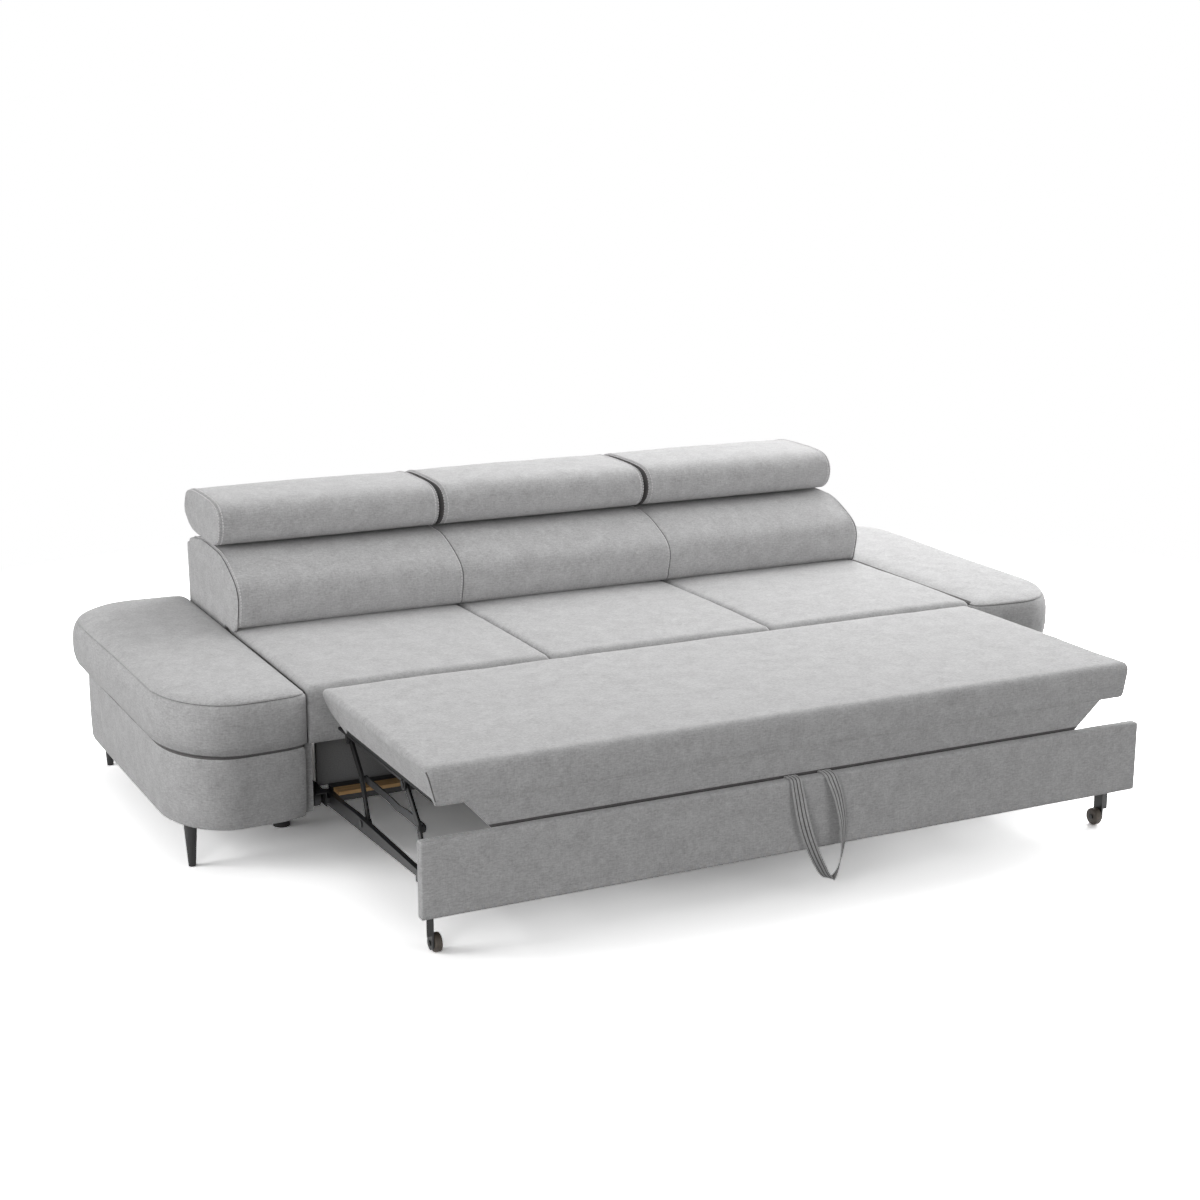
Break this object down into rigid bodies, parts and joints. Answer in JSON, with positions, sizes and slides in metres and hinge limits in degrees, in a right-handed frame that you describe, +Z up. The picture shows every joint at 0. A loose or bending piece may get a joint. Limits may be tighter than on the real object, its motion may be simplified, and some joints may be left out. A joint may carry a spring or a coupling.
{
  "type": "sofa bed",
  "caption": "Upholstered sofa bed with the bed drawn out and raised level with the seat: wide soft arms, folding headrests, a lever-lift mattress on a wheeled drawer.",
  "frame": {"origin": "floor level, at the middle of the sofa's width and of its depth with the bed pulled out", "axes": "+X along the width, to the right as seen from the front, +Y towards the backrest, +Z up"},
  "size_m": [2.668, 1.854, 0.7592],
  "materials": {
    "fabric": "woven chenille velour, light cool grey, matt with a soft sheen",
    "wood": "planed softwood, unfinished",
    "plywood": "birch plywood, unfinished",
    "black_steel": "satin black powder coat",
    "zinc_steel": "grey coated steel, satin",
    "black_plastic": "moulded black plastic",
    "webbing": "black elastic webbing",
    "roller_plastic": "grey-brown tyre, satin"
  },
  "bodies": {
    "sofa": {"arm_cushion_left": "fabric", "arm_cushion_right": "fabric", "arm_base_left": "fabric", "arm_base_right": "fabric", "arm_frame_left": "plywood", "arm_frame_right": "plywood", "legs": "black_steel", "inner_feet": "black_plastic", "side_board_left": "fabric", "side_board_right": "fabric", "arm_bolts": "zinc_steel", "seat_frame": "wood", "seat_webbing": "webbing", "seat_cushion_left": "fabric", "seat_cushion_middle": "fabric", "seat_cushion_right": "fabric", "guide_tracks": "black_steel", "guide_roller_axles": "zinc_steel", "back_frame": "wood", "back_cushion": "fabric", "back_cover": "fabric", "headrest_brackets": "black_steel", "headrest_hinge_pins": "zinc_steel"},
    "headrest_left": {"headrest_cushion_left": "fabric", "headrest_board_left": "plywood", "headrest_leaves_left": "black_steel"},
    "headrest_middle": {"headrest_cushion_middle": "fabric", "headrest_board_middle": "plywood", "headrest_leaves_middle": "black_steel"},
    "headrest_right": {"headrest_cushion_right": "fabric", "headrest_board_right": "plywood", "headrest_leaves_right": "black_steel"},
    "drawer": {"front_panel": "fabric", "front_cross_rail": "black_steel", "side_rail_left": "black_steel", "side_rail_right": "black_steel", "rear_cross_tube": "black_steel", "wooden_slat": "wood", "drawer_rear_board": "fabric", "runners": "black_steel", "caster_brackets": "black_steel", "drawer_axles": "zinc_steel", "pull_strap": "fabric", "lever_base_pins": "zinc_steel"},
    "caster_left": {"caster_wheel_left": "roller_plastic"},
    "caster_right": {"caster_wheel_right": "roller_plastic"},
    "roller_left": {"rear_roller_left": "roller_plastic"},
    "roller_right": {"rear_roller_right": "roller_plastic"},
    "guide_left": {"guide_roller_left": "roller_plastic"},
    "guide_right": {"guide_roller_right": "roller_plastic"},
    "rear_lever_pair": {"rear_levers": "black_steel"},
    "front_lever_frame": {"front_levers": "black_steel"},
    "strut_pair": {"struts": "black_steel", "strut_pins": "zinc_steel"},
    "mattress": {"mattress_cushion": "fabric", "mattress_skirt": "fabric", "mattress_board": "plywood", "mattress_frame": "black_steel", "mattress_pins": "zinc_steel"}
  },
  "joints": [
    {"name": "bed_pull", "type": "slide", "parent": "sofa", "child": "drawer", "axis": [0, -1, 0], "range_m": [0, 0.128]},
    {"name": "rear_lever_swing", "type": "hinge", "parent": "drawer", "child": "rear_lever_pair", "pos_m": [0, -0.37, 0.152], "axis": [-1, 0, 0], "range_deg": [0, 49.3]},
    {"name": "front_lever_swing", "type": "hinge", "parent": "drawer", "child": "front_lever_frame", "pos_m": [0, -0.743, 0.152], "axis": [-1, 0, 0], "range_deg": [0, 49.3]},
    {"name": "mattress_level", "type": "hinge", "parent": "front_lever_frame", "child": "mattress", "pos_m": [0, -0.628, 0.328], "axis": [1, 0, 0], "range_deg": [0, 49.3]},
    {"name": "strut_level", "type": "hinge", "parent": "rear_lever_pair", "child": "strut_pair", "pos_m": [0, -0.3313, 0.2474], "axis": [1, 0, 0], "range_deg": [0, 49.3]},
    {"name": "headrest_left_tilt", "type": "hinge", "parent": "sofa", "child": "headrest_left", "pos_m": [-0.65333, 0.8652, 0.647], "axis": [-1, 0, 0], "range_deg": [0, 60]},
    {"name": "headrest_middle_tilt", "type": "hinge", "parent": "sofa", "child": "headrest_middle", "pos_m": [0, 0.8652, 0.647], "axis": [-1, 0, 0], "range_deg": [0, 60]},
    {"name": "headrest_right_tilt", "type": "hinge", "parent": "sofa", "child": "headrest_right", "pos_m": [0.65333, 0.8652, 0.647], "axis": [-1, 0, 0], "range_deg": [0, 60]},
    {"name": "caster_left_spin", "type": "hinge", "parent": "drawer", "child": "caster_left", "pos_m": [-0.9108, -0.814, 0.022], "axis": [1, 0, 0], "continuous": true},
    {"name": "caster_right_spin", "type": "hinge", "parent": "drawer", "child": "caster_right", "pos_m": [0.9108, -0.814, 0.022], "axis": [1, 0, 0], "continuous": true},
    {"name": "roller_left_spin", "type": "hinge", "parent": "drawer", "child": "roller_left", "pos_m": [-0.9482, 0.12, 0.1387], "axis": [1, 0, 0], "continuous": true},
    {"name": "roller_right_spin", "type": "hinge", "parent": "drawer", "child": "roller_right", "pos_m": [0.9482, 0.12, 0.1387], "axis": [1, 0, 0], "continuous": true},
    {"name": "guide_left_spin", "type": "hinge", "parent": "sofa", "child": "guide_left", "pos_m": [-0.9482, -0.112, 0.1387], "axis": [1, 0, 0], "continuous": true},
    {"name": "guide_right_spin", "type": "hinge", "parent": "sofa", "child": "guide_right", "pos_m": [0.9482, -0.112, 0.1387], "axis": [1, 0, 0], "continuous": true}
  ],
  "couplings": [
    {"joint": "rear_lever_swing", "follows": "bed_pull", "rad_per_m": 6.72},
    {"joint": "front_lever_swing", "follows": "bed_pull", "rad_per_m": 6.72},
    {"joint": "mattress_level", "follows": "bed_pull", "rad_per_m": 6.72},
    {"joint": "strut_level", "follows": "bed_pull", "rad_per_m": 6.72}
  ]
}
